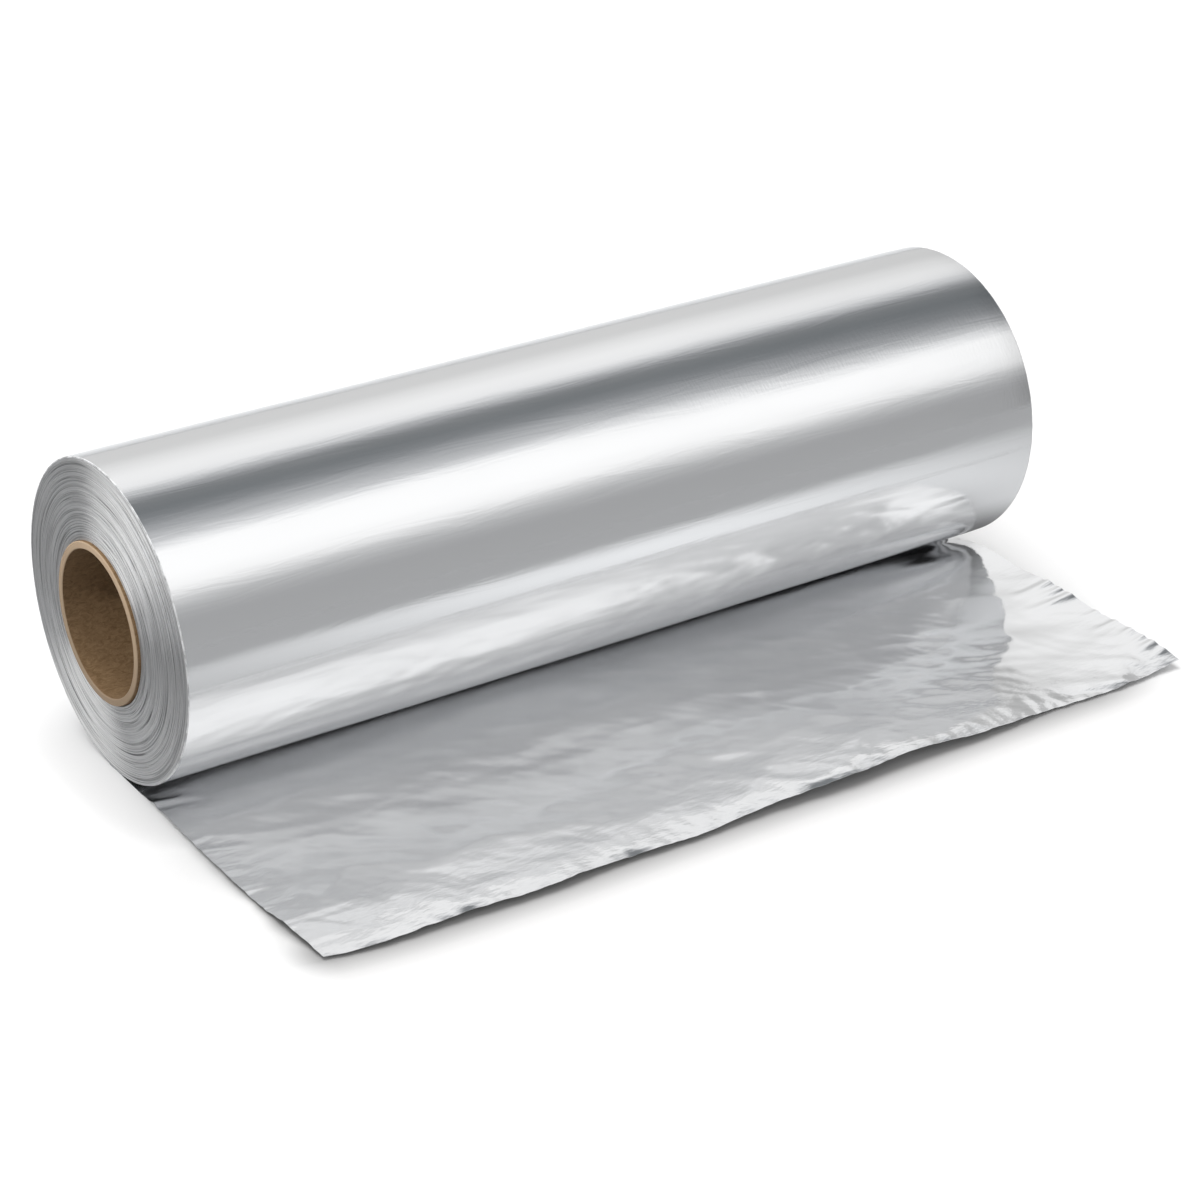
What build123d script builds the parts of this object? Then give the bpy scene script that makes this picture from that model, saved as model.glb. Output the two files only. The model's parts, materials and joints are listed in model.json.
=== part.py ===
from build123d import *
import math
import os

# Catering foil roll, lying on its side with the free end of the foil laid out in front.
# Two pieces: a board core, and one web of foil that is wound on it and ends in a loose sheet.
# Millimetres. +X runs along the roll, -Y is the side where the sheet lies, +Z is up.
# The origin is the middle of the core's bore, so the surface that the roll lies on is half a roll below it.

# The foil. Real foil is 0.018 mm thick, so each modelled turn is a bundle of about seventy real ones,
# and the outermost turn, which runs off as the loose sheet, has a thickness that a solid can hold.
web_width = 300.0
roll_diameter = 95.0
sheet_thickness = 0.3
turn_count = 18

# The core, a spirally wound board tube that stands a little out of the foil at both ends.
core_bore_diameter = 43.2
core_wall = 2.2
core_length = 306.0
core_chamfer = 0.4
seat_clearance = 0.05

# How far the turns crept sideways while the web was wound, in steps that are uneven from turn to turn.
# A turn that stands proud at the left end is sunk by as much at the right end.
telescope = 1.8
creep_unevenness = 0.75
creep_rhythm = 2.6

# Where the roll's weight presses the outer turns flat, and the foil in front of it that stays down.
flat_spot_depth = 0.15
flat_run = 16.0

# The loose sheet. Its front edge lifts in waves, each a height, a length and a phase,
# its sides curl up a little, and its left front corner lies down on the surface.
loose_length = 119.5
front_lift = 2.4
front_waves = ((1.2, 196.0, 3.2), (1.5, 160.0, -0.2))
corner_reach = 17.0
left_curl = 0.9
right_curl = 3.1
curl_reach = 14.0
curl_start = 6.0
curl_wave_length = 39.0
sheet_drift = 1.5
left_bulge = 1.6
corner_cut = 4.8
corner_cut_reach = 20.0
tear_depth = 0.5
tear_wave_length = 52.0
grid_step = 6.3

core_radius = core_bore_diameter / 2 + core_wall
seat_radius = core_radius + seat_clearance
left_end = -web_width / 2

# A spiral drawn with half circles: the front halves have their centre a little above the roll's axis
# and the back halves as much below it, so that every half runs smoothly into the next.
pitch = (roll_diameter / 2 - sheet_thickness - seat_radius) / turn_count
back_centre = -pitch / 4
front_centre = pitch / 4
floor_z = back_centre - roll_diameter / 2 + flat_spot_depth


def back_radius(turn):
    """Outer radius of the back half of a turn, counted from 1 at the core."""
    return seat_radius + turn * pitch


def front_radius(turn):
    """Outer radius of the front half of a turn."""
    return back_radius(turn) - pitch / 2


def side_shift(turn):
    """How far along X a turn lies from the outermost one."""
    steps = [1 + creep_unevenness * math.sin(creep_rhythm * k) for k in range(turn_count)]
    return -telescope * sum(steps[turn:]) / sum(steps)


def half_disc(radius, centre, side):
    """Half of a disc on the plane across the roll, on side +1, the back, or -1, the front."""
    rim = CenterArc((0, centre), radius, -90, 180 * side)
    return make_face(rim + Line(rim @ 1, rim @ 0))


def along_roll(section, shift=0.0):
    """A section across the roll, extruded over the width of the web."""
    return extrude(Plane.YZ * section, web_width).moved(Location((left_end + shift, 0, 0)))


def bundle(turn):
    """One modelled turn: a front half and a back half that meet above and below the core."""
    front = half_disc(front_radius(turn), front_centre, -1)
    back = half_disc(back_radius(turn), back_centre, 1)
    if turn > 1:
        front -= half_disc(front_radius(turn - 1), front_centre, -1)
        back -= half_disc(back_radius(turn - 1), back_centre, 1)
    return along_roll(front, side_shift(turn)) + along_roll(back, side_shift(turn))


def outer_turn():
    """The last turn, which thins from a bundle to a single foil on its way over the roll."""
    rim = back_radius(turn_count)
    front = half_disc(rim + sheet_thickness / 2, back_centre + sheet_thickness / 2, -1)
    front -= half_disc(front_radius(turn_count), front_centre, -1)
    back = half_disc(rim + sheet_thickness, back_centre, 1) - half_disc(rim, back_centre, 1)
    return along_roll(front) + along_roll(back)


def wound_turns():
    """All the turns, bored for the core and pressed flat where they lie on the surface."""
    wound = outer_turn()
    for turn in range(1, turn_count + 1):
        wound += bundle(turn)
    wound -= Cylinder(seat_radius, 2 * web_width, rotation=(0, 90, 0))
    below = Box(2 * web_width, roll_diameter, roll_diameter, align=(Align.CENTER, Align.CENTER, Align.MAX))
    return wound - below.moved(Location((0, 0, floor_z)))


def contact_strip():
    """The first stretch of loose foil, which lies flat on the surface."""
    strip = Box(web_width, flat_run, sheet_thickness, align=(Align.CENTER, Align.MAX, Align.MIN))
    return strip.moved(Location((0, 0, floor_z)))


def wave(place, length, phase=0.0):
    """A wave between -1 and 1."""
    return math.sin(2 * math.pi * place / length + phase)


def front_height(place):
    """How far the front edge lifts off the surface, at a place counted from the left side."""
    waves = sum(height * wave(place, length, phase) for height, length, phase in front_waves)
    return (1 - math.exp(-place / corner_reach)) * (front_lift + waves)


def curl_height(place, run):
    """How far the sides curl up, at a place counted from the left and a run counted from the flat strip."""
    left = left_curl * math.exp(-place / curl_reach)
    right = right_curl * math.exp(-(web_width - place) / curl_reach)
    start = 1 - math.exp(-run / curl_start)
    return (left + right) * start * (1 + 0.25 * wave(run, curl_wave_length))


def sheet_point(across, along):
    """A point on the underside of the loose sheet. Both shares run from 0 to 1, along to the front edge."""
    place = web_width * across
    run = (loose_length - flat_run) * along
    ramp = along * along * (3 - 2 * along)
    height = ramp * front_height(place) + (1 - ramp / 2) * curl_height(place, run)
    bulge = left_bulge * math.sin(math.pi * along) * (1 - across)
    tear = along * (tear_depth * wave(place, tear_wave_length) - corner_cut * math.exp(-place / corner_cut_reach))
    return (left_end + place + sheet_drift * along - bulge, -flat_run - run - tear, floor_z + height)


def wavy_sheet():
    """The rest of the loose foil, in low waves."""
    columns = math.ceil(web_width / grid_step)
    rows = math.ceil((loose_length - flat_run) / grid_step)
    grid = [[sheet_point(i / columns, j / rows) for i in range(columns + 1)] for j in range(rows + 1)]
    return extrude(Face.make_surface_from_array_of_points(grid), sheet_thickness, dir=(0, 0, 1))


def foil():
    """The whole web as one solid."""
    return wound_turns() + contact_strip() + wavy_sheet()


def core():
    """The board tube, with its cut ends a little softened."""
    tube = Cylinder(core_radius, core_length, rotation=(0, 90, 0))
    tube -= Cylinder(core_bore_diameter / 2, core_length, rotation=(0, 90, 0))
    return chamfer(tube.edges().filter_by(GeomType.CIRCLE), core_chamfer)


os.makedirs("parts", exist_ok=True)
for name, shape in (("foil", foil()), ("core", core())):
    export_step(shape, f"parts/{name}.step")
    print(name, "solids", len(shape.solids()), "volume", round(shape.volume), "size", shape.bounding_box().size)
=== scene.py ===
# %% [markdown]
# # A catering roll of foil, with its end laid out
# The real thing is two pieces: a spirally wound board tube, and one web of rolled foil that is wound on it
# and runs off at the front as a loose sheet. The frame already holds both at their real size and place.
# Here they get their looks: the bright metal, the edges of the turns, the creases of the loose sheet
# and the brown board. Foil is a mirror that is a little blurred, so most of its look is the room that it
# reflects. That is why the light gets as much care here as the metal does.

# %% Load the frame and note its sizes
import json
import math
import random

import bpy
import numpy as np
from mathutils import Matrix, Vector, noise


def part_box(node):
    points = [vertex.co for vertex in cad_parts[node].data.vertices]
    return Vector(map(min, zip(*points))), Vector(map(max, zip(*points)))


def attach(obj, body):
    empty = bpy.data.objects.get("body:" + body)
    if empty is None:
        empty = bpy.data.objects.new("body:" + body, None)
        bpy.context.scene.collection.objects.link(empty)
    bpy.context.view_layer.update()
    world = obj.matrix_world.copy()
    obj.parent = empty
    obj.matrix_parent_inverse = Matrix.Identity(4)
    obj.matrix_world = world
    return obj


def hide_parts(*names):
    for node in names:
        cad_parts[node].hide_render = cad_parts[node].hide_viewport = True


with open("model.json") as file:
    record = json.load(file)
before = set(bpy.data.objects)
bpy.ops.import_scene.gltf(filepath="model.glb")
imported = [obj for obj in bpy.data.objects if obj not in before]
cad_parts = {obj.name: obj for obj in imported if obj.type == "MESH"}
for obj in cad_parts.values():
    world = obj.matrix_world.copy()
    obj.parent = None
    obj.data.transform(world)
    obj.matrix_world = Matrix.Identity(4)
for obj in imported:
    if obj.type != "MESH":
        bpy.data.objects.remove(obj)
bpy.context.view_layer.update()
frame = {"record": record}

MM = 0.001
foil_low, foil_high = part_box("foil")
core_low, core_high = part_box("core")
surface_z = foil_low[2]
roll_radius = foil_high[1]
roll_axis_z = foil_high[2] - roll_radius
core_radius = core_high[1]
mounts = {mount["name"]: mount for mount in frame["record"]["mounts"]}
bore_radius = mounts["core_bore"]["dims"]["r_mm"] * MM
web_width = 300 * MM
print("roll radius", roll_radius, "axis", roll_axis_z, "surface", surface_z, "core", core_radius, bore_radius)

# %% [markdown]
# ## A few helpers
# An operator acts on all that is selected, and the frame arrives selected. So each new piece starts from
# an empty selection, and the helpers below keep that in one place.


# %% Helpers for selecting and finishing
def only(piece):
    """Selects one object and nothing else."""
    bpy.ops.object.select_all(action="DESELECT")
    piece.select_set(True)
    bpy.context.view_layer.objects.active = piece


def name_new(name):
    """Names the object that an operator has just added."""
    piece = bpy.context.active_object
    piece.name = piece.data.name = name
    return piece


def bake_modifiers(piece):
    """Applies every modifier of a piece, in order."""
    only(piece)
    for modifier in list(piece.modifiers):
        bpy.ops.object.modifier_apply(modifier=modifier.name)


def points_of(piece):
    """A mesh's points as rows of x, y and z."""
    rows = np.empty(len(piece.data.vertices) * 3)
    piece.data.vertices.foreach_get("co", rows)
    return rows.reshape(-1, 3)


def move_points(piece, rows):
    """Writes a mesh's points back after they have been moved."""
    piece.data.vertices.foreach_set("co", np.ascontiguousarray(rows).ravel())
    piece.data.update()


print("helpers ready:", only.__name__, name_new.__name__, bake_modifiers.__name__)

# %% [markdown]
# ## The wound turns
# Seen end on, a foil roll shows the cut edges of more than a thousand turns. No mesh can hold each one, so
# the turns are gathered into bundles of uneven width that stand a little proud of each other, as they do
# where the web crept sideways while it was wound. A line is drawn from the core to the rim by extruding one
# point again and again, and is then spun round the axis, which is how a roll really gets its shape.

# %% Draw the line of the bundles' edges
telescope = 1.8 * MM
seat_radius = core_radius + 0.05 * MM
bundle_width = (0.28 * MM, 0.78 * MM)
bundle_height = 0.09 * MM
groove_depth = 0.08 * MM
groove_half = 0.05 * MM
rim_width = 0.5 * MM
rim_round = 0.18 * MM
rim_steps = (0.30 * MM, 0.55 * MM, 1.5 * MM, 3.0 * MM, 5.0 * MM, 7.5 * MM)
rim_line = 0.38 * MM
spin_steps = 192
lengths_along = 40


def bundle_radii(draw):
    """The radii where one bundle ends and the next begins."""
    radii = [seat_radius]
    while radii[-1] < roll_radius - rim_width - bundle_width[1]:
        radii.append(radii[-1] + draw.uniform(*bundle_width))
    radii.append(roll_radius - rim_width)
    return radii


def end_line(side, seed):
    """Points (x, radius) from the core out to the rim, at the left end (-1) or the right end (+1)."""
    draw = random.Random(seed)
    radii = bundle_radii(draw)
    line = []
    for inner, outer in zip(radii, radii[1:]):
        share_in = (roll_radius - inner) / (roll_radius - seat_radius)
        proud = draw.uniform(-bundle_height, bundle_height)
        x = side * (web_width / 2 + proud) - telescope * share_in
        line += [(x, inner + groove_half), (x, outer - groove_half), (x - side * groove_depth, outer)]
    edge = side * web_width / 2
    line += [(edge, roll_radius - rim_width + groove_half), (edge, roll_radius - rim_round)]
    line += [(edge - side * rim_round * 0.3, roll_radius - rim_round * 0.3)]
    return line


def along_line():
    """Points along the outside of the roll, from the left rim to the right one, closer together near the rims."""
    inset = web_width / 2 - rim_round
    middle = web_width / 2 - rim_steps[-1]
    close = [web_width / 2 - step for step in rim_steps[:-1]]
    places = [-middle + 2 * middle * i / lengths_along for i in range(lengths_along + 1)]
    places = [-inset] + [-x for x in close] + places + close[::-1] + [inset]
    return [(x, roll_radius) for x in places]


left_line = end_line(-1, 7)
right_line = end_line(1, 11)
profile = left_line + along_line() + right_line[::-1]
print("bundles", len(left_line) // 3, "points in the line", len(profile))

# %% Extrude the line and spin it
def draw_line(name, points, axis_z):
    """Draws points (x, radius) above an axis at height axis_z, by extruding one point. Stays in edit mode."""
    bpy.ops.object.select_all(action="DESELECT")
    bpy.ops.mesh.primitive_plane_add(size=MM)
    piece = name_new(name)
    bpy.ops.object.mode_set(mode="EDIT")
    bpy.ops.mesh.select_mode(type="VERT")
    bpy.ops.mesh.merge(type="CENTER")
    place = Vector((0, 0, 0))
    for i, (x, radius) in enumerate(points):
        step = Vector((x, 0, axis_z + radius)) - place
        if i == 0:
            bpy.ops.transform.translate(value=step)
        else:
            bpy.ops.mesh.extrude_vertices_move(TRANSFORM_OT_translate={"value": step})
        place += step
    return piece


def spin_line(piece, axis_z, steps):
    """Spins the line once round the X axis and welds the seam. Stays in edit mode."""
    bpy.ops.mesh.select_all(action="SELECT")
    bpy.ops.mesh.spin(steps=steps, angle=2 * math.pi, center=(0, 0, axis_z), axis=(1, 0, 0))
    bpy.ops.mesh.select_all(action="SELECT")
    bpy.ops.mesh.remove_doubles(threshold=0.001 * MM)
    print(piece.name, "was spun in", steps, "steps")


foil_roll = draw_line("foil_roll", profile, roll_axis_z)
spin_line(foil_roll, roll_axis_z, spin_steps)
bpy.ops.mesh.select_all(action="DESELECT")
bpy.ops.object.mode_set(mode="OBJECT")
print("spun", len(foil_roll.data.vertices), "points and", len(foil_roll.data.polygons), "faces")

# %% Close the inside along the core
first_x, last_x = profile[0][0], profile[-1][0]
first_radius, last_radius = profile[0][1], profile[-1][1]
rows = points_of(foil_roll)
radius_of = np.hypot(rows[:, 1], rows[:, 2] - roll_axis_z)
inner_left = (np.abs(rows[:, 0] - first_x) < 0.01 * MM) & (radius_of < first_radius + 0.01 * MM)
inner_right = (np.abs(rows[:, 0] - last_x) < 0.01 * MM) & (radius_of < last_radius + 0.01 * MM)
foil_roll.data.vertices.foreach_set("select", inner_left | inner_right)
for edge in foil_roll.data.edges:
    a, b = edge.vertices
    edge.select = bool((inner_left[a] and inner_left[b]) or (inner_right[a] and inner_right[b]))
only(foil_roll)
bpy.ops.object.mode_set(mode="EDIT")
bpy.ops.mesh.select_mode(type="EDGE")
bpy.ops.mesh.bridge_edge_loops()
bpy.ops.mesh.select_all(action="SELECT")
bpy.ops.mesh.normals_make_consistent(inside=False)
bpy.ops.object.mode_set(mode="OBJECT")
print("closed at", len(foil_roll.data.polygons), "faces")

# %% [markdown]
# A wound web is never quite true. Each bundle's edge wanders in and out as it goes round, and the outer turn
# has shallow swellings that bend its reflections. Both are moved here point by point, with smooth noise.
# Under the roll, its own weight presses it flat on the sheet.

# %% Let the edges and the outer turn wander
edge_wander = 0.16 * MM
edge_ripple = 0.07 * MM
wander_waves = 1.2
ripple_waves = 4.0
gap_waves = 1.6
gap_depth = 0.22 * MM
swelling = 0.060 * MM
loose_swelling = 0.15 * MM
swelling_length = 30 * MM
end_droop = 0.13 * MM
end_droop_length = 10 * MM
foil_gauge = 0.12 * MM


def noise_round(turn_y, turn_z, waves, seed):
    """Smooth noise round the axis, for the direction (turn_y, turn_z) from it."""
    return noise.noise(Vector((turn_y * waves, turn_z * waves, seed)))


rows = points_of(foil_roll)
for i, (x, y, z) in enumerate(rows):
    radius = math.hypot(y, z - roll_axis_z)
    turn_y, turn_z = y / radius, (z - roll_axis_z) / radius
    if radius < roll_radius - rim_width / 2:
        side = 1 if x > 0 else -1
        line = left_line if side < 0 else right_line
        nearest = min(range(len(line)), key=lambda k: abs(line[k][1] - radius))
        bundle = nearest // 3
        rows[i, 0] += edge_wander * noise_round(turn_y, turn_z, wander_waves, bundle * 3.7)
        rows[i, 0] += edge_ripple * noise_round(turn_y, turn_z, ripple_waves, bundle * 2.3 + 9)
        if nearest % 3 == 2:
            opening = noise_round(turn_y, turn_z, gap_waves, bundle * 5.3 + 40)
            rows[i, 0] -= side * gap_depth * max(0.0, opening - 0.1)
    else:
        around = Vector((x * 0.6, y, z)) / swelling_length
        low_front = max(0.0, min(1.0, 0.35 - turn_z * 1.6)) * (turn_y < 0)
        size = swelling + (loose_swelling - swelling) * low_front
        drawn_in = end_droop * max(0.0, (x - web_width / 2) / end_droop_length + 1) ** 2
        grown = radius + size * (noise.noise(around) - 0.5) - drawn_in
        rows[i, 1] = turn_y * grown
        rows[i, 2] = roll_axis_z + turn_z * grown
rows[:, 2] = np.maximum(rows[:, 2], surface_z + foil_gauge)
move_points(foil_roll, rows)
print("lowest point over the surface, mm", round((rows[:, 2].min() - surface_z) / MM, 3))

# %% [markdown]
# ## The loose sheet
# The free end of the web leaves the bottom of the roll and lies down in front. Foil keeps every bend it has
# been given: it lies in low waves, its sides curl up, its cut edge lifts off the table, and fine creases run
# in from the sides where it was handled. A grid of points is laid out flat and each point gets its height
# from those forms added together, in millimetres, so that each form can be read and changed by itself.

# %% Lay out the plan of the sheet
loose_length = 119.5
flat_run = 16.0
sheet_drift = 1.5
left_bulge = 1.6
corner_cut = 4.8
corner_cut_reach = 20.0
tear_depth = 0.5
tear_wave_length = 52.0
ragged_depth = 0.30
ragged_length = 4.0
side_ragged_depth = 0.22
under_roll = 3.0
columns = 300
rows_along = 122


def wave(place, length, phase=0.0):
    """A wave between -1 and 1."""
    return np.sin(2 * np.pi * place / length + phase)


def smooth_noise(x, y, length, seed, stretch=1.0):
    """Smooth noise between about -1 and 1 over a plane, with cells longer across than along by stretch."""
    return np.array([noise.noise(Vector((a / length / stretch, b / length, seed))) for a, b in zip(x, y)])


bpy.ops.object.select_all(action="DESELECT")
bpy.ops.mesh.primitive_grid_add(x_subdivisions=columns, y_subdivisions=rows_along, size=1)
foil_sheet = name_new("foil_sheet")
rows = points_of(foil_sheet)
width = web_width / MM
across = (rows[:, 0] + 0.5) * width
total = loose_length + under_roll
run = (0.5 - rows[:, 1]) * total - under_roll
along = np.clip((run - flat_run) / (loose_length - flat_run), 0, 1)
print("sheet points", len(rows), "run from", run.min(), "to", run.max())

# %% Work out how high the sheet lies
# The front edge lifts in two long waves, and the sides curl up. The left front corner lies down.
front_lift = 2.4
front_waves = ((1.2, 196.0, 3.2), (1.5, 160.0, -0.2))
corner_reach = 17.0
left_curl = 0.9
right_curl = 3.1
curl_reach = 14.0
curl_start = 9.0
curl_wave_length = 39.0


def rise(value, start, end):
    """Goes smoothly from 0 at start to 1 at end."""
    t = np.clip((value - start) / (end - start), 0, 1)
    return t * t * (3 - 2 * t)


past_flat = np.clip(run - flat_run, 0, None)
corner = 1 - np.exp(-across / corner_reach)
ramp = rise(along, 0, 1)
front = corner * (front_lift + sum(h * wave(across, n, p) for h, n, p in front_waves))
curl = left_curl * np.exp(-across / curl_reach) + right_curl * np.exp(-(width - across) / curl_reach)
curl *= (1 - np.exp(-past_flat / curl_start)) * (1 + 0.25 * wave(past_flat, curl_wave_length))
height = ramp * front + (1 - ramp / 2) * curl
print("front edge height, mm", round(front.min(), 2), "to", round(front.max(), 2))

# %% Shape the sheet's outline
ragged = smooth_noise(across, run * 0, ragged_length, 3.7)
tear = tear_depth * wave(across, tear_wave_length) - corner_cut * np.exp(-across / corner_cut_reach)
bulge = left_bulge * np.sin(np.pi * along) * (1 - across / width)
plan_x = -width / 2 + across + sheet_drift * along - bulge
plan_y = -run - along * tear - along ** 12 * ragged_depth * ragged
plan_x += (2 * across / width - 1) ** 15 * side_ragged_depth * smooth_noise(run, across * 0, 3.0, 8.1)
print("outline", plan_x.min(), plan_x.max(), plan_y.min(), plan_y.max())

# %% Add soft swells and crinkles
# Each layer: its size, the length of its cells along the web, and how much longer they are across it.
swells = ((0.66, 26.0, 1.8, 1.3), (0.20, 11.0, 2.2, 4.1), (0.07, 5.0, 2.4, 7.7))
calm_at_right = 0.2
left_swell = 0.50
left_swell_place = (-92.0, -82.0)
left_swell_reach = (48.0, 15.0)
# Each set of fine creases: its height, the length of its cells, their stretch, their slant and a seed.
crinkles = ((0.17, 9.0, 2.6, 0.35, 5.9), (0.28, 21.0, 1.5, -0.50, 14.2), (0.06, 5.0, 1.6, 0.90, 21.7))
free = rise(run, 17.0, 46.0)
calmer = 1 - calm_at_right * rise(across, 140, 185)
for size, length, stretch, seed in swells:
    height += free * calmer * size * (smooth_noise(plan_x, plan_y, length, seed, stretch) + 0.25)
off_x = (plan_x - left_swell_place[0]) / left_swell_reach[0]
off_y = (plan_y - left_swell_place[1]) / left_swell_reach[1]
broken = np.clip(1 + 0.6 * smooth_noise(plan_x, plan_y, 14.0, 12.3, 1.6), 0.3, 1.6)
height += left_swell * np.exp(-off_x ** 2 - off_y ** 2) * broken
for size, length, stretch, slant, seed in crinkles:
    ridges = 1 - 2 * np.abs(smooth_noise(plan_x, plan_y + slant * plan_x, length, seed, stretch))
    height += free * size * ridges * (0.4 + 0.6 * along)
print("swells and crinkles reach, mm", round(height.max(), 2))

# %% Turn down the cut edge
# The shears bent it down. How far in the bend starts changes from place to place, and it is puckered.
lip_drop = 0.85
lip_reach = (3.0, 13.0)
pucker = 0.16
pucker_reach = 6.0
from_edge = loose_length - run
lip_noise = smooth_noise(across, run * 0, 13.0, 6.4) + 0.5 * smooth_noise(across, run * 0, 4.5, 1.9)
reach = lip_reach[0] + (lip_reach[1] - lip_reach[0]) * np.clip(0.5 + 0.7 * lip_noise, 0, 1)
height -= corner * lip_drop * np.clip(1 - from_edge / reach, 0, 1) ** 2 * np.clip(front, 0, 1)
puckers = smooth_noise(plan_x, plan_y * 0.30, 2.6, 9.7)
height += pucker * puckers * np.exp(-from_edge / pucker_reach) * corner
print("cut edge lies, mm", round(height[from_edge < 0.01].min(), 2), "to", round(height[from_edge < 0.01].max(), 2))

# %% Press in the creases that handling left
# Each crease runs from a point at the side to a point further in: (x, y) twice, then its height and its width.
creases = (
    ((-150.5, -23.9), (-136.0, -26.0), 0.45, 1.3),
    ((-149.5, -47.5), (-142.0, -46.9), 0.22, 0.9),
    ((-150.5, -53.9), (-138.0, -57.4), 0.28, 1.0),
    ((-150.5, -63.5), (-143.0, -65.3), 0.22, 0.9),
    ((-150.5, -76.8), (-143.0, -77.3), 0.26, 0.9),
    ((-150.5, -85.8), (-146.5, -86.8), 0.25, 0.8),
    ((-150.5, -98.7), (-143.0, -98.2), 0.24, 0.9),
    ((-144.0, -96.2), (-125.0, -98.2), 0.20, 1.1),
    ((-121.6, -69.0), (-117.6, -79.5), 0.06, 0.9),
    ((151.5, -60.5), (135.0, -60.0), 0.55, 1.2),
    ((151.5, -66.0), (143.0, -65.6), 0.40, 1.0),
    ((151.5, -70.8), (132.0, -69.0), 0.60, 1.3),
    ((151.5, -83.0), (145.0, -82.4), 0.30, 0.9),
    ((151.5, -91.3), (140.0, -90.8), 0.45, 1.0),
    ((151.5, -98.0), (145.0, -98.6), 0.40, 0.9),
    ((151.5, -103.5), (146.0, -103.8), 0.35, 0.8),
    ((151.5, -107.6), (143.0, -108.4), 0.50, 1.0),
    ((151.5, -112.6), (146.0, -113.6), 0.35, 0.9),
    ((133.0, -120.5), (114.0, -110.0), 0.25, 1.5),
    ((116.0, -120.0), (101.0, -115.2), 0.22, 1.2),
)


def crease_form(a, b, depth, half_width):
    """A ridge with a shallow trough beside it, which fades out at its inner end."""
    (ax, ay), (bx, by) = a, b
    dx, dy = bx - ax, by - ay
    length = math.hypot(dx, dy)
    t = ((plan_x - ax) * dx + (plan_y - ay) * dy) / length
    off = ((plan_x - ax) * dy - (plan_y - ay) * dx) / length
    fade = np.clip(1 - t / length, 0, 1) ** 0.8 * (t > -6)
    ridge = np.exp(-np.abs(off / half_width) ** 1.4)
    trough = np.exp(-((off - 2.2 * half_width) / half_width) ** 2)
    return depth * fade * (ridge - 0.55 * trough)


for crease in creases:
    height += crease_form(*crease)
print("creases", len(creases))

# %% Curl small bits of the cut edge and write the sheet
edge_flick = 0.35
flick_length = 9.0
near_edge = np.exp(-from_edge / 1.2)
flick = np.clip(smooth_noise(across, run * 0, flick_length, 2.2), 0, 1)
height += near_edge * edge_flick * flick
height = np.maximum(height, 0.0)
rows[:, 0] = plan_x * MM
rows[:, 1] = plan_y * MM
rows[:, 2] = surface_z + (height + 0.01) * MM
move_points(foil_sheet, rows)
solid = foil_sheet.modifiers.new("gauge", "SOLIDIFY")
solid.thickness = foil_gauge
solid.offset = 1
bake_modifiers(foil_sheet)
print("sheet lifts to, mm", round(height.max(), 2), "faces", len(foil_sheet.data.polygons))

# %% [markdown]
# ## Smooth shading
# The outside of the roll is one smooth surface, and the bundles' edges are crisp. Shading by angle keeps
# both: faces that meet at a small angle are blended, and sharper corners stay sharp.

# %% Shade the foil pieces
for piece, degrees in ((foil_roll, 35), (foil_sheet, 60)):
    only(piece)
    bpy.ops.object.shade_smooth_by_angle(angle=math.radians(degrees))
    print(piece.name, "is smooth up to", degrees, "degrees")

# %% [markdown]
# ## The bright foil
# Rolled aluminium is a metal mirror, blurred along one way only: the mill's rolls leave fine lines that run
# along the web, and light spreads across those lines, not along them. So the shader gets a low roughness
# and some anisotropy, with its tangent across the web, which is the first way of the UV map.


# %% Lay the UV map along the web
def lay_web_uv(piece, along_web):
    """Gives a piece a UV map in metres: u across the web, v along it."""
    uv = piece.data.uv_layers.new(name="web") if not piece.data.uv_layers else piece.data.uv_layers[0]
    uv.name = "web"
    for loop in piece.data.loops:
        place = piece.data.vertices[loop.vertex_index].co
        uv.data[loop.index].uv = (place.x, along_web(place))


def around_roll(place):
    """Distance round the roll, counted from its back."""
    return roll_radius * math.atan2(place.z - roll_axis_z, place.y)


lay_web_uv(foil_roll, around_roll)
lay_web_uv(foil_sheet, lambda place: place.y)
print("UV maps", foil_roll.data.uv_layers[0].name, foil_sheet.data.uv_layers[0].name)


# %% Helpers for wiring a finish
def new_material(name):
    """A material, its node tree and its main shader."""
    material = bpy.data.materials.new(name)
    material.use_nodes = True
    tree = material.node_tree
    shader = next(n for n in tree.nodes if n.type == "BSDF_PRINCIPLED")
    return material, tree, shader


def add_node(tree, kind, **settings):
    """Adds a node and sets its properties."""
    node = tree.nodes.new(kind)
    for name, value in settings.items():
        setattr(node, name, value)
    return node


def feed(node, *in_order, **by_name):
    """Feeds a node's sockets, in order or by name, each from another node's output or with a plain value."""
    named = [(node.inputs[name.replace("_", " ")], source) for name, source in by_name.items()]
    for socket, source in [*zip(node.inputs, in_order), *named]:
        if isinstance(source, bpy.types.NodeSocket):
            node.id_data.links.new(source, socket)
        else:
            socket.default_value = source
    return node


def calculate(tree, operation, *sources):
    """One step of arithmetic on sockets and numbers."""
    return feed(add_node(tree, "ShaderNodeMath", operation=operation), *sources).outputs["Value"]


def times(tree, a, b):
    """Multiplies two sockets, or a socket and a number."""
    return calculate(tree, "MULTIPLY", a, b)


def vector_step(tree, operation, *sources, out="Vector"):
    """One step of arithmetic on vectors."""
    return feed(add_node(tree, "ShaderNodeVectorMath", operation=operation), *sources).outputs[out]


def scaled(tree, vector, factor):
    """A vector or a colour times a number."""
    return feed(add_node(tree, "ShaderNodeVectorMath", operation="SCALE"), vector, Scale=factor).outputs["Vector"]


def parts_of(tree, vector):
    """The sockets X, Y and Z of a place or a direction."""
    return feed(add_node(tree, "ShaderNodeSeparateXYZ"), vector).outputs


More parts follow.
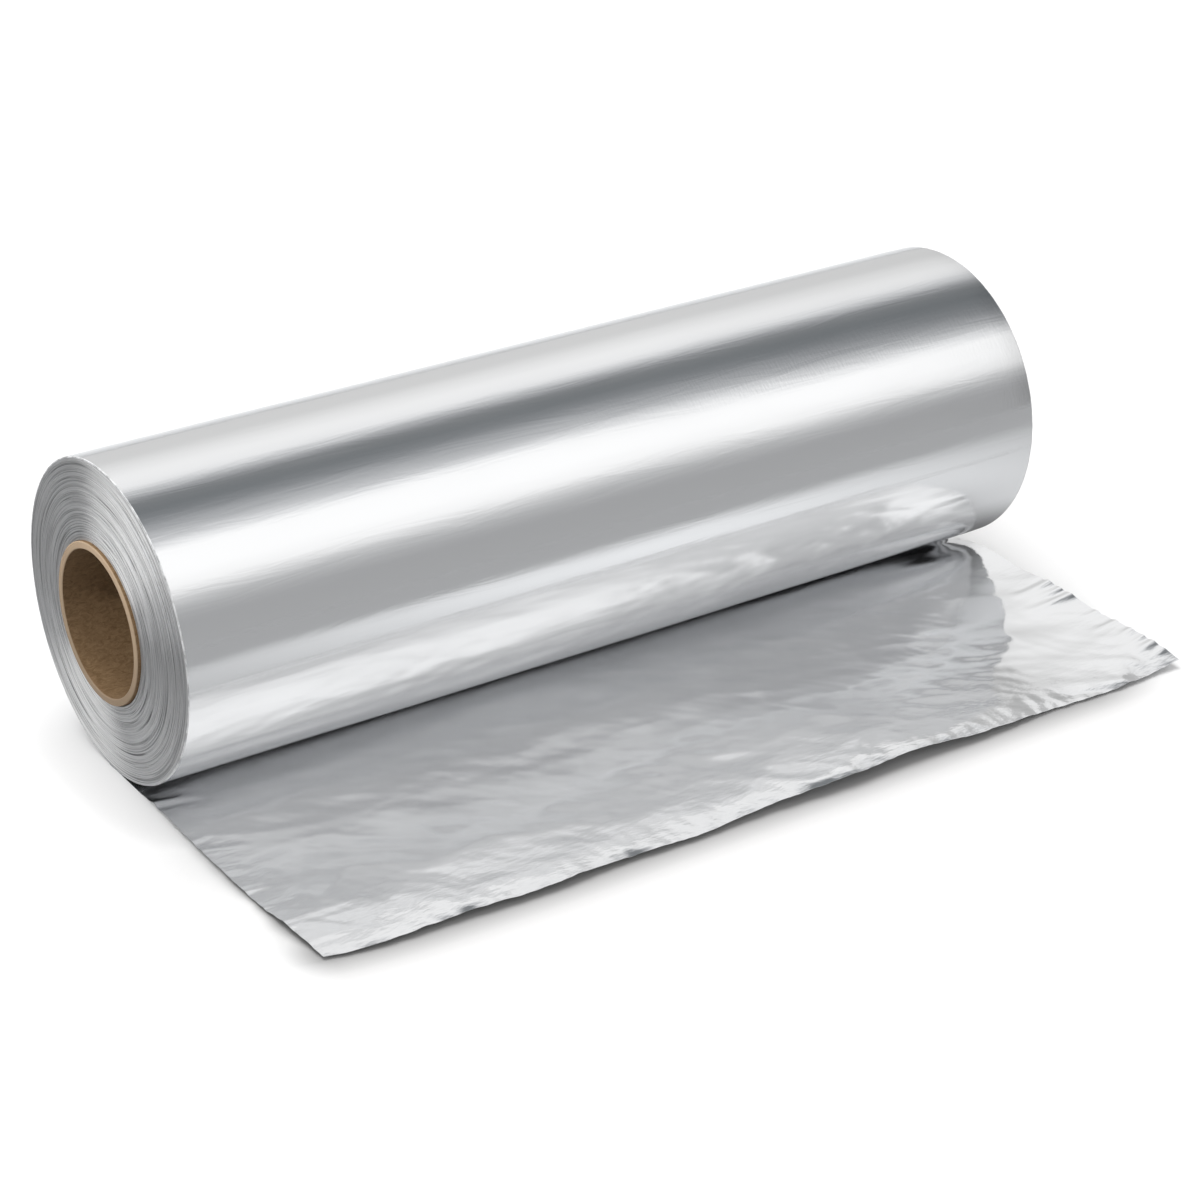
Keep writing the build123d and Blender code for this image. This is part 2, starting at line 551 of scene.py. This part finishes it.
def straight(tree, source, start, end, low=0.0, high=1.0, **settings):
    """Goes in a straight line from low, where the source is start, to high, where it is end."""
    node = add_node(tree, "ShaderNodeMapRange", **settings)
    return feed(node, Value=source, From_Min=start, From_Max=end, To_Min=low, To_Max=high).outputs["Result"]


def smooth(tree, source, start, end, low=0.0, high=1.0):
    """As straight does, but with soft ends."""
    return straight(tree, source, start, end, low, high, interpolation_type="SMOOTHSTEP")


def blended(tree, share, a, b, data_type="RGBA", **settings):
    """Gives a where the share is 0, b where it is 1, and a blend between."""
    return feed(add_node(tree, "ShaderNodeMix", data_type=data_type, **settings), Factor=share, A=a, B=b).outputs["Result"]


def colour_ramp(tree, share, stops):
    """Colours along a share from 0 to 1, given as (place, colour) pairs."""
    ramp = add_node(tree, "ShaderNodeValToRGB")
    elements = ramp.color_ramp.elements
    for place, colour in stops[1:-1]:
        elements.new(place)
    for element, (place, colour) in zip(elements, stops):
        element.position = place
        element.color = (*colour, 1)
    return feed(ramp, Fac=share).outputs["Color"]


def noise_over(tree, place, detail=3.0, roughness=0.6, scale=1.0, distortion=0.0, dimensions="3D"):
    """Cloudy noise over a place."""
    node = add_node(tree, "ShaderNodeTexNoise", noise_dimensions=dimensions)
    feed(node, Vector=place, Scale=scale, Detail=detail, Roughness=roughness, Distortion=distortion)
    return node.outputs["Fac"]


def bumped(tree, height, strength, depth, under=None):
    """A normal that is bent as a height of the given depth would, over another bump if there is one."""
    node = feed(add_node(tree, "ShaderNodeBump"), Height=height, Strength=strength, Distance=depth)
    if under is not None:
        feed(node, Normal=under)
    return node.outputs["Normal"]


# %% Make the foil's finish
foil_colour = (0.862, 0.866, 0.872)
cloud_scale = (22, 60)
blur_change = 0.12
side_crinkles = (0.128, 0.147)
side_crinkle_share = 0.8
calm_crinkle_share = 0.2


def web_noise(tree, across, along, **looks):
    """Noise on the web's own UV map, scaled across and along the web."""
    uv = add_node(tree, "ShaderNodeUVMap", uv_map="web").outputs["UV"]
    mapping = feed(add_node(tree, "ShaderNodeMapping"), Vector=uv, Scale=(across, along, 1))
    return noise_over(tree, mapping.outputs["Vector"], dimensions="2D", **looks)


def foil_material(name, roughness, anisotropy, bump_mm, cell_mm, growth=None, sharper=None, streaks=None):
    """Bright rolled foil. Its crinkles have cells (across, along) the web.

    They may grow between two places along it, the roughness may halve between two places across it, and
    streaks may run across the web, given as (height in mm, cell across, cell along)."""
    material, tree, shader = new_material(name)
    feed(shader, Base_Color=(*foil_colour, 1), Metallic=1.0, Roughness=roughness, Anisotropic=anisotropy)
    tangent = add_node(tree, "ShaderNodeTangent", direction_type="UV_MAP", uv_map="web").outputs["Tangent"]
    clouds = web_noise(tree, *cloud_scale, detail=2.0, roughness=0.5)
    blur = straight(tree, clouds, 0.35, 0.65, roughness * (1 - blur_change), roughness * (1 + blur_change))
    parts = parts_of(tree, add_node(tree, "ShaderNodeUVMap", uv_map="web").outputs["UV"])
    if sharper:
        blur = times(tree, blur, smooth(tree, parts["X"], *sharper, 1.0, 0.5))
    height = web_noise(tree, 1000 / cell_mm[0], 1000 / cell_mm[1], roughness=0.55)
    if growth:
        grown = smooth(tree, parts["Y"], *growth, calm_crinkle_share, 1.0)
        off_middle = calculate(tree, "ABSOLUTE", parts["X"])
        at_side = smooth(tree, off_middle, *side_crinkles, 0.0, side_crinkle_share)
        height = times(tree, height, calculate(tree, "MAXIMUM", grown, at_side))
    under = None
    if streaks:
        depth_mm, across_mm, along_mm = streaks
        lines = web_noise(tree, 1000 / across_mm, 1000 / along_mm, distortion=0.4)
        under = bumped(tree, lines, 1.0, depth_mm * MM)
    feed(shader, Roughness=blur, Tangent=tangent, Normal=bumped(tree, height, 1.0, bump_mm * MM, under))
    return material


roll_foil = foil_material("roll_foil", 0.135, 0.45, 0.008, (0.8, 3.0), streaks=(0.035, 38, 4.2))
sheet_foil = foil_material("sheet_foil", 0.17, 0.0, 0.080, (4.5, 1.6), growth=(-0.086, -0.118), sharper=(0.02, 0.11))
print("foil finishes", roll_foil.name, sheet_foil.name)

# %% [markdown]
# The ends show foil edge-on. Fine rings scatter light outwards from the axis, as on a lathe-turned disc,
# so here the tangent runs round the axis and the blur is turned by a quarter to lie across the rings.


# %% Make the finish of the cut ends
def ring_coordinates(tree, ring_mm, turns):
    """Coordinates for noise that follows the rings: radius in rings, and the direction from the axis."""
    place = add_node(tree, "ShaderNodeTexCoord").outputs["Object"]
    mapping = feed(add_node(tree, "ShaderNodeMapping"), Vector=place, Location=(0, 0, -roll_axis_z), Scale=(0, 1, 1))
    centred = mapping.outputs["Vector"]
    rings = times(tree, vector_step(tree, "LENGTH", centred, out="Value"), 1000 / ring_mm)
    spread = parts_of(tree, scaled(tree, vector_step(tree, "NORMALIZE", centred), turns))
    return feed(add_node(tree, "ShaderNodeCombineXYZ"), rings, spread["Y"], spread["Z"]).outputs["Vector"]


def end_material():
    """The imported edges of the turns: fine rings, and here and there a gap that stays open over an arc."""
    material, tree, shader = new_material("foil_edges")
    feed(shader, Metallic=1.0, Roughness=0.43, Anisotropic=1.0, Anisotropic_Rotation=0.25)
    tangent = add_node(tree, "ShaderNodeTangent", direction_type="RADIAL", axis="X").outputs["Tangent"]
    turns = noise_over(tree, ring_coordinates(tree, 0.34, 0.9))
    tone = colour_ramp(tree, turns, ((0.31, (0.44, 0.44, 0.445)), (0.55, (1.0, 1.0, 1.0))))
    gaps = noise_over(tree, ring_coordinates(tree, 0.62, 1.1), detail=1.0, roughness=0.4)
    shaded = scaled(tree, tone, smooth(tree, gaps, 0.27, 0.34, 0.40, 1.0))
    feed(shader, Base_Color=shaded, Tangent=tangent, Normal=bumped(tree, turns, 0.5, 0.03 * MM))
    return material


def rim_material():
    """The frayed edge of the outer turns: dull, so that it stays pale whatever it faces."""
    material, tree, shader = new_material("foil_rim")
    nicks = noise_over(tree, add_node(tree, "ShaderNodeTexCoord").outputs["Object"], scale=260.0)
    tone = colour_ramp(tree, nicks, ((0.36, (0.50, 0.505, 0.51)), (0.56, (0.90, 0.905, 0.91))))
    feed(shader, Metallic=0.4, Roughness=0.45, Base_Color=tone, Normal=bumped(tree, nicks, 0.8, 0.1 * MM))
    return material


foil_edges = end_material()
foil_rim = rim_material()

# %% Give each face of the foil its finish
for finish in (roll_foil, foil_edges, foil_rim):
    foil_roll.data.materials.append(finish)
rim_start = roll_radius - rim_round * 2.0
for face in foil_roll.data.polygons:
    outward = math.hypot(face.center.y, face.center.z - roll_axis_z)
    on_side = abs(face.center.x) < web_width / 2 - rim_line
    if on_side and outward > roll_radius - rim_width / 2 or face.center.z < surface_z + MM / 2:
        face.material_index = 0
    else:
        face.material_index = 2 if outward > rim_start else 1
foil_sheet.data.materials.append(sheet_foil)
print("finishes of the roll", [m.name for m in foil_roll.data.materials])

# %% [markdown]
# ## The board core
# A core is wound from strips of kraft board. It is matt and brown, with short fibres and a paler cut end, on
# which each ply shows as a small step. Its section is drawn as one closed line and spun, as on a lathe.


# %% Turn the tube
wall = core_radius - bore_radius
ply_step = 0.07 * MM
chamfer = 0.25 * MM
plies = 4
tube_steps = 128


def tube_end(side):
    """Points (x, radius) over one cut end, from the bore out, with a small step at each ply."""
    end = core_high[0]
    points = [(side * (end - chamfer), bore_radius), (side * end, bore_radius + chamfer)]
    for ply in range(1, plies):
        radius = bore_radius + wall * ply / plies
        points += [(side * end, radius - ply_step), (side * (end - ply_step), radius), (side * end, radius + ply_step)]
    return points + [(side * end, core_radius - chamfer), (side * (end - chamfer), core_radius)]


tube_line = tube_end(-1) + tube_end(1)[::-1]
board_tube = draw_line("board_tube", tube_line, 0)
bpy.ops.object.mode_set(mode="OBJECT")
for i, point in enumerate(board_tube.data.vertices):
    point.select = i in (0, len(tube_line) - 1)
for edge in board_tube.data.edges:
    edge.select = False
bpy.ops.object.mode_set(mode="EDIT")
bpy.ops.mesh.edge_face_add()
spin_line(board_tube, 0, tube_steps)
bpy.ops.mesh.normals_make_consistent(inside=False)
bpy.ops.object.mode_set(mode="OBJECT")
bpy.ops.object.shade_smooth_by_angle(angle=math.radians(30))
print("tube faces", len(board_tube.data.polygons))


# %% Make the board
def board_material():
    """Kraft board: dark brown inside, and paler where it was cut. On the cut end shade is painted: darker towards the
    bottom, lighter towards the top.
    """
    material, tree, shader = new_material("core_board")
    place = add_node(tree, "ShaderNodeTexCoord").outputs["Object"]
    stretched = feed(add_node(tree, "ShaderNodeMapping"), Vector=place, Scale=(0.55, 1, 1)).outputs["Vector"]
    fibres = noise_over(tree, stretched, detail=5.0, roughness=0.7, scale=850.0, distortion=1.2)
    tone = colour_ramp(tree, fibres, ((0.28, (0.130, 0.078, 0.036)), (0.72, (0.290, 0.190, 0.106))))
    parts = parts_of(tree, place)
    away = calculate(tree, "ABSOLUTE", parts["X"])
    cut = straight(tree, away, core_high[0] - 1.5 * chamfer, core_high[0] - 0.5 * chamfer)
    # Painted shade: the cut end's own paler colour is scaled from darker at the bottom to lighter at the top.
    cut_tone_and_painted_shade = scaled(tree, (0.44, 0.33, 0.228), straight(tree, parts["Z"], -core_radius, core_radius, 0.62, 1.08))
    feed(shader, Roughness=0.85, Specular_IOR_Level=0.2)
    feed(shader, Base_Color=blended(tree, cut, tone, cut_tone_and_painted_shade), Normal=bumped(tree, fibres, 0.8, 0.09 * MM))
    return material


board_tube.data.materials.append(board_material())
print("board finish", board_tube.data.materials[0].name)

# %% [markdown]
# ## Which piece stands for what
# Both foil pieces stand for the one foil node, and the tube for the core. All ride on the only body there is.

# %% Tie the pieces to the frame
for piece in (foil_roll, foil_sheet):
    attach(piece, "root")
    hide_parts("foil")
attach(board_tube, "root")
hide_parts("core")
print("pieces", foil_roll.name, foil_sheet.name, board_tube.name)

# %% [markdown]
# ## The table
# The object lies on a plain white table. It has to stay white to the camera and still take the soft shadow
# under the roll and under the lifted edge of the sheet; that shadow is partly cast by the lamps and partly
# painted into the table's colour. To the metal the table shows painted light: it is duller, and bright only
# where a studio's light would reach it, the middle in front, the back and a patch at the far left, with a
# painted shadow beside the roll's right end.

# %% Lay the table
bpy.ops.object.select_all(action="DESELECT")
bpy.ops.mesh.primitive_plane_add(size=6, location=(0, 0, surface_z - 0.02 * MM))
table = name_new("table")
print("table at", round(table.location.z / MM, 3), "mm")


# %% Draw the soft shadow that the camera sees
# Near the object the shadow follows how much of the sky is hidden. In front of the sheet's cut edge it
# follows the distance from that edge. Each shadow is a list of (share, level) pairs.
shadow_reach = 0.021
shadow_samples = 24
shadow_stops = (
    (0.0, 0.28), (0.6, 0.45), (0.77, 0.53), (0.87, 0.62), (0.93, 0.73),
    (0.965, 0.85), (0.985, 0.935), (0.996, 0.985), (1.0, 1.0),
)
shadow_warmth = (1.0, 0.993, 0.99)
shadow_near_roll = 0.36
shadow_at_right = 0.15
edge_shade_reach = 0.018
edge_shade_stops = (
    (0.0, 0.38), (0.055, 0.44), (0.11, 0.50), (0.167, 0.55), (0.222, 0.60),
    (0.333, 0.69), (0.444, 0.79), (0.61, 0.875), (0.83, 0.94), (1.0, 1.0),
)
unshaded = (1, 1, 1, 1)


def shade_ramp(tree, share, stops):
    """The levels of a shadow, a little warm where it is dark."""
    return colour_ramp(tree, share, [(place, [level * c for c in shadow_warmth]) for place, level in stops])


def near_shade(tree, parts):
    """The shadow close to the object, weaker beside the roll and at the right."""
    near = add_node(tree, "ShaderNodeAmbientOcclusion", samples=shadow_samples)
    feed(near, Distance=shadow_reach)
    front = smooth(tree, parts["Y"], -0.045, -0.090, shadow_near_roll, 1.0)
    aside = smooth(tree, parts["X"], 0.10, 0.15, 1.0, shadow_at_right)
    return blended(tree, times(tree, front, aside), unshaded, shade_ramp(tree, near.outputs["AO"], shadow_stops))


def edge_shade(tree, parts):
    """The shadow in front of the sheet's cut edge, which fades out at its two corners."""
    corner_end = -web_width / 2 + corner_cut_reach * MM
    fall = straight(tree, parts["X"], -web_width / 2, corner_end, 0.0, -1.0, clamp=False)
    bend = times(tree, calculate(tree, "EXPONENT", fall), corner_cut * MM)
    edge = calculate(tree, "ADD", bend, -loose_length * MM)
    ahead = calculate(tree, "DIVIDE", calculate(tree, "SUBTRACT", edge, parts["Y"]), edge_shade_reach)
    sides = times(tree, smooth(tree, parts["X"], -0.162, -0.146), smooth(tree, parts["X"], 0.155, 0.115))
    kept = times(tree, sides, smooth(tree, parts["Y"], -0.095, -0.112))
    return blended(tree, kept, unshaded, shade_ramp(tree, ahead, edge_shade_stops))


print("shadow reaches", shadow_reach / MM, "and", edge_shade_reach / MM, "mm")


# %% Make the table white
table_white = 0.93
table_lift = 0.06
table_bounce = 0.5
table_tint = (0.985, 0.997, 1.012)
# Painted light on the table, seen only by the metal: a bright pool in front, lighter levels behind, a light patch at
# the far left, and a painted shadow beside the roll's right end.
bright_centre_x = 0.07
bright_half_width = 0.17
bright_front_edge = (-0.30, -0.16)
bright_level = 0.81
dull_level = 0.36
left_level = 0.225
left_edge = (-0.20, -0.14)
back_levels = (0.79, 0.62)
back_reach = (0.25, 0.8)
painted_light_patch_place = (-0.46, 0.15, 0.0)
painted_light_patch_reach = (0.24, 0.14)
painted_light_patch_level = 1.0
end_shade_place = (0.152, -0.010, 0.0)
end_shade_reach = (0.012, 0.042)
end_shade_level = 0.30


def mirrored_level(tree, place, parts):
    """The painted light and shade on the table as the metal sees it, by place."""
    off_centre = straight(
        tree, parts["X"], bright_centre_x, bright_centre_x + bright_half_width, clamp=False)
    hump = calculate(tree, "EXPONENT", times(tree, times(tree, off_centre, off_centre), -1.0))
    lit = times(tree, smooth(tree, parts["Y"], *bright_front_edge), hump)
    dull = smooth(tree, parts["X"], *left_edge, left_level, dull_level)
    level = straight(tree, lit, 0.0, 1.0, dull, bright_level)
    behind = times(tree, smooth(tree, parts["Y"], 0.05, 0.12), smooth(tree, parts["X"], -0.17, -0.12))
    level = blended(tree, behind, level, smooth(tree, parts["Y"], *back_reach, *back_levels), "FLOAT")
    off_patch = vector_step(tree, "DISTANCE", place, painted_light_patch_place, out="Value")
    level = blended(tree, smooth(tree, off_patch, *painted_light_patch_reach), level, painted_light_patch_level, "FLOAT")
    off_end = vector_step(tree, "DISTANCE", place, end_shade_place, out="Value")
    return times(tree, level, smooth(tree, off_end, *end_shade_reach, end_shade_level, 1.0))


def table_material():
    """White with its shadow to the camera, the levels above to the metal, and a plain grey to the rest."""
    material, tree, shader = new_material("table_white")
    rays = add_node(tree, "ShaderNodeLightPath").outputs
    place = add_node(tree, "ShaderNodeTexCoord").outputs["Object"]
    parts = parts_of(tree, place)
    mirrored = scaled(tree, table_tint, mirrored_level(tree, place, parts))
    shade = blended(tree, 1.0, near_shade(tree, parts), edge_shade(tree, parts), blend_type="DARKEN")
    bounced = (table_bounce, table_bounce, table_bounce, 1)
    shown = blended(tree, rays["Is Camera Ray"], bounced, scaled(tree, shade, table_white))
    feed(shader, Roughness=1.0, Specular_IOR_Level=0.0)
    feed(shader, Base_Color=blended(tree, rays["Is Glossy Ray"], shown, mirrored))
    feed(shader, Emission_Color=shade, Emission_Strength=times(tree, rays["Is Camera Ray"], table_lift))
    return material


table.data.materials.append(table_material())
print("table finish", table.data.materials[0].name)

# %% [markdown]
# ## The light
# Foil shows the room. A photographer hangs long white boxes and black flags over it, and their reflections
# become the light and dark bands along the roll. Here the same is done with the sky: for reflections it has
# bands that run along the roll, given by their height angle. 0 is level in front, 90 is overhead and 180 is
# level behind. Each set of bands has a second one, into which it changes towards the right end.

# %% Draw the bands that the foil sees
bands_right = (
    (0, (0.420, 0.424, 0.430)), (18, (0.405, 0.409, 0.416)), (27, (0.500, 0.504, 0.512)),
    (33, (0.710, 0.713, 0.718)), (40, (1.060, 1.060, 1.060)), (50, (1.150, 1.150, 1.150)),
    (66, (1.150, 1.150, 1.150)), (71, (0.920, 0.925, 0.935)), (76, (0.600, 0.608, 0.622)),
    (84, (0.440, 0.450, 0.464)), (91, (0.262, 0.275, 0.287)), (99, (0.190, 0.203, 0.213)),
    (108, (0.225, 0.235, 0.243)), (113, (0.420, 0.428, 0.440)), (117, (0.660, 0.668, 0.680)),
    (123, (0.960, 0.962, 0.966)), (134, (0.990, 0.990, 0.990)), (148, (0.850, 0.850, 0.848)),
    (158, (0.710, 0.710, 0.708)), (180, (0.690, 0.690, 0.690)),
)
bands_end = (
    (0, (0.420, 0.424, 0.430)), (16, (0.405, 0.409, 0.416)), (24, (0.500, 0.504, 0.512)),
    (29, (0.710, 0.713, 0.718)), (36, (1.060, 1.060, 1.060)), (46, (1.150, 1.150, 1.150)),
    (58, (1.150, 1.150, 1.150)), (63, (0.900, 0.905, 0.915)), (68, (0.570, 0.578, 0.592)),
    (76, (0.340, 0.350, 0.362)), (84, (0.215, 0.227, 0.238)), (97, (0.165, 0.178, 0.188)),
    (109, (0.225, 0.235, 0.243)), (114, (0.420, 0.428, 0.440)), (119, (0.660, 0.668, 0.680)),
    (126, (0.880, 0.882, 0.886)), (134, (0.900, 0.900, 0.900)), (148, (0.780, 0.780, 0.778)),
    (158, (0.670, 0.670, 0.668)), (180, (0.670, 0.670, 0.670)),
)
flag_taper = (0.52, 0.63)
end_dim = (0.632, 0.68)
end_dim_level = 0.62
print("bands", len(bands_right), "and", len(bands_end))

# %% [markdown]
# Where the roll and the sheet face each other, foil shows foil, and that one shows the room or the first foil
# again. These second and third looks pass over small dents twice or more, which would mix all the bands into
# one grey. So they get softer bands of their own, told apart by how often the ray has met something.

# %% Draw the bands that the foil sees in other foil
bands_second = (
    (0, (0.600, 0.602, 0.608)), (12, (0.760, 0.762, 0.768)), (22, (0.600, 0.602, 0.608)),
    (36, (0.700, 0.702, 0.708)), (46, (0.920, 0.920, 0.922)), (56, (1.180, 1.180, 1.180)),
    (72, (1.200, 1.200, 1.200)), (82, (0.720, 0.724, 0.730)), (98, (0.360, 0.363, 0.370)),
    (180, (0.550, 0.553, 0.560)),
)
bands_second_end = (
    (0, (0.600, 0.602, 0.608)), (12, (0.760, 0.762, 0.768)), (22, (0.620, 0.622, 0.628)),
    (36, (0.840, 0.842, 0.846)), (46, (0.740, 0.743, 0.748)), (56, (0.700, 0.703, 0.708)),
    (66, (0.580, 0.583, 0.590)), (82, (0.600, 0.603, 0.610)), (98, (0.360, 0.363, 0.370)),
    (180, (0.550, 0.553, 0.560)),
)
second_taper = (0.53, 0.575)
bands_third = (
    (0, (0.700, 0.702, 0.706)), (18, (0.750, 0.752, 0.756)), (27, (0.840, 0.842, 0.844)),
    (34, (0.980, 0.980, 0.980)), (44, (0.940, 0.940, 0.940)), (51, (0.820, 0.820, 0.822)),
    (58, (0.580, 0.582, 0.586)), (74, (0.540, 0.543, 0.550)), (180, (0.460, 0.463, 0.470)),
)
bands_third_end = (
    (0, (0.580, 0.583, 0.590)), (18, (0.600, 0.603, 0.610)), (40, (0.550, 0.553, 0.560)),
    (58, (0.500, 0.503, 0.510)), (74, (0.540, 0.543, 0.550)), (180, (0.460, 0.463, 0.470)),
)
third_taper = (0.49, 0.55)
print("bands at the second look", len(bands_second), "and at the third", len(bands_third))

# %% [markdown]
# To the left, past the roll's end, the room is dim but for one large round screen. Together with the patch
# of light painted on the table it draws the light wedges over the rings. Matt things see only a plain white
# dome, and the camera sees white.

# %% Hang the sky
left_room = (0.165, 0.167, 0.172)
left_room_edge = (-0.25, 0.0)
screen_level = 1.05
screen_azimuth = math.radians(121)
screen_height = math.radians(34)
screen_half_width = math.radians(45)
screen_softness = math.radians(11)
dome_level = 0.72


def grey(level):
    """A grey as a colour with its alpha."""
    return (level, level, level, 1)


def tapered_bands(tree, parts, share, bands, end_bands, taper):
    """Bands that change into others towards the right, between two values of the direction's x."""
    ramps = [colour_ramp(tree, share, [(d / 180, colour) for d, colour in b]) for b in (bands, end_bands)]
    return blended(tree, smooth(tree, parts["X"], *taper), *ramps)


def round_screen(tree, way):
    """How far a direction lies in the round screen: 1 inside, 0 outside."""
    level_part = math.cos(screen_height)
    middle = (-math.sin(screen_azimuth) * level_part, -math.cos(screen_azimuth) * level_part, math.sin(screen_height))
    facing = vector_step(tree, "DOT_PRODUCT", way, middle, out="Value")
    outer, inner = screen_half_width + screen_softness, screen_half_width - screen_softness
    return smooth(tree, facing, math.cos(outer), math.cos(inner))


def hang_sky():
    """The world: bands to glossy rays, white to the rest."""
    world = bpy.data.worlds.new("studio")
    bpy.context.scene.world = world
    world.use_nodes = True
    tree = world.node_tree
    tree.nodes.clear()
    way = add_node(tree, "ShaderNodeTexCoord").outputs["Generated"]
    parts = parts_of(tree, way)
    height_angle = calculate(tree, "ARCTAN2", parts["Z"], times(tree, parts["Y"], -1.0))
    share = calculate(tree, "DIVIDE", height_angle, math.pi)
    left = blended(tree, round_screen(tree, way), (*left_room, 1), grey(screen_level))
    direct = tapered_bands(tree, parts, share, bands_right, bands_end, flag_taper)
    direct = scaled(tree, direct, smooth(tree, parts["X"], *end_dim, 1.0, end_dim_level))
    room = blended(tree, smooth(tree, parts["X"], *left_room_edge), left, direct)
    rays = add_node(tree, "ShaderNodeLightPath").outputs
    second = tapered_bands(tree, parts, share, bands_second, bands_second_end, second_taper)
    third = tapered_bands(tree, parts, share, bands_third, bands_third_end, third_taper)
    for depth, bands in ((2.5, second), (3.5, third)):
        room = blended(tree, calculate(tree, "GREATER_THAN", rays["Ray Depth"], depth), room, bands)
    dome = blended(tree, rays["Is Camera Ray"], grey(dome_level), grey(1))
    sky = blended(tree, rays["Is Glossy Ray"], dome, room)
    background = feed(add_node(tree, "ShaderNodeBackground"), sky).outputs["Background"]
    feed(add_node(tree, "ShaderNodeOutputWorld"), background)


hang_sky()
bpy.context.scene.view_settings.view_transform = "Standard"
print("sky", bpy.context.scene.world.name)

# %% [markdown]
# Two lamps shade what is matt. A broad one stands high behind and lights the table. A narrow one on the left
# shines down into the core, so that the lower wall of the bore is light while its upper wall stays in shade.
# The foil sees neither: what the foil sees is the sky alone.
# Foil that faces foil hands the light back and forth many times, so more bounces are allowed than usual.

# %% Set the lamps and the bounces
high_lamp_angle = math.radians(65)
high_lamp_level = 1.65
bore_lamp_place = Vector((-0.50, -0.05, 0.36))
bore_lamp_aim = Vector((core_low[0] + 8 * MM, 0, -4 * MM))
bore_lamp_watts = 16.0
bounces = 7

bpy.ops.object.light_add(type="SUN", location=(0, 0.5, 1.0))
high_lamp = name_new("high_lamp")
high_lamp.data.energy = high_lamp_level
high_lamp.data.angle = math.radians(40)
high_lamp.rotation_euler = (high_lamp_angle - math.pi / 2, 0, 0)
high_lamp.visible_glossy = False
bpy.ops.object.light_add(type="SPOT", location=bore_lamp_place)
bore_lamp = name_new("bore_lamp")
bore_lamp.data.energy = bore_lamp_watts
bore_lamp.data.shadow_soft_size = 0.05
bore_lamp.data.spot_size = 2.6 * core_radius / (bore_lamp_aim - bore_lamp_place).length
bore_lamp.data.spot_blend = 0.4
bore_lamp.rotation_euler = (bore_lamp_aim - bore_lamp_place).to_track_quat("-Z", "Y").to_euler()
bore_lamp.visible_glossy = False
bpy.context.scene.cycles.max_bounces = bounces
bpy.context.scene.cycles.glossy_bounces = bounces
print("lamps", high_lamp.name, bore_lamp.name)

# %% [markdown]
# ## The camera
# The picture was taken from the front left, from above, with a long lens. The place and the turn come from
# matching the roll's ends and the sheet's corners in the photograph.

# %% Set the camera
camera_place = Vector((-494.9, -719.1, 475.8)) * MM
camera_yaw = math.radians(35.51)
camera_pitch = math.radians(-27.95)
camera_roll = math.radians(1.651)
picture_side = 1200
focal_pixels = 3217.4

forward = Vector((
    math.sin(camera_yaw) * math.cos(camera_pitch),
    math.cos(camera_yaw) * math.cos(camera_pitch),
    math.sin(camera_pitch),
))
level = Vector((math.cos(camera_yaw), -math.sin(camera_yaw), 0))
upward = level.cross(forward)
right = level * math.cos(camera_roll) + upward * math.sin(camera_roll)
above = upward * math.cos(camera_roll) - level * math.sin(camera_roll)
bpy.ops.object.camera_add()
camera = name_new("camera")
turn = Matrix((right, above, -forward)).transposed().to_4x4()
camera.matrix_world = Matrix.Translation(camera_place + Vector((0, 0, surface_z))) @ turn
camera.data.sensor_width = 36
camera.data.lens = camera.data.sensor_width * focal_pixels / picture_side
bpy.context.scene.camera = camera
print("lens", round(camera.data.lens, 2), "mm")
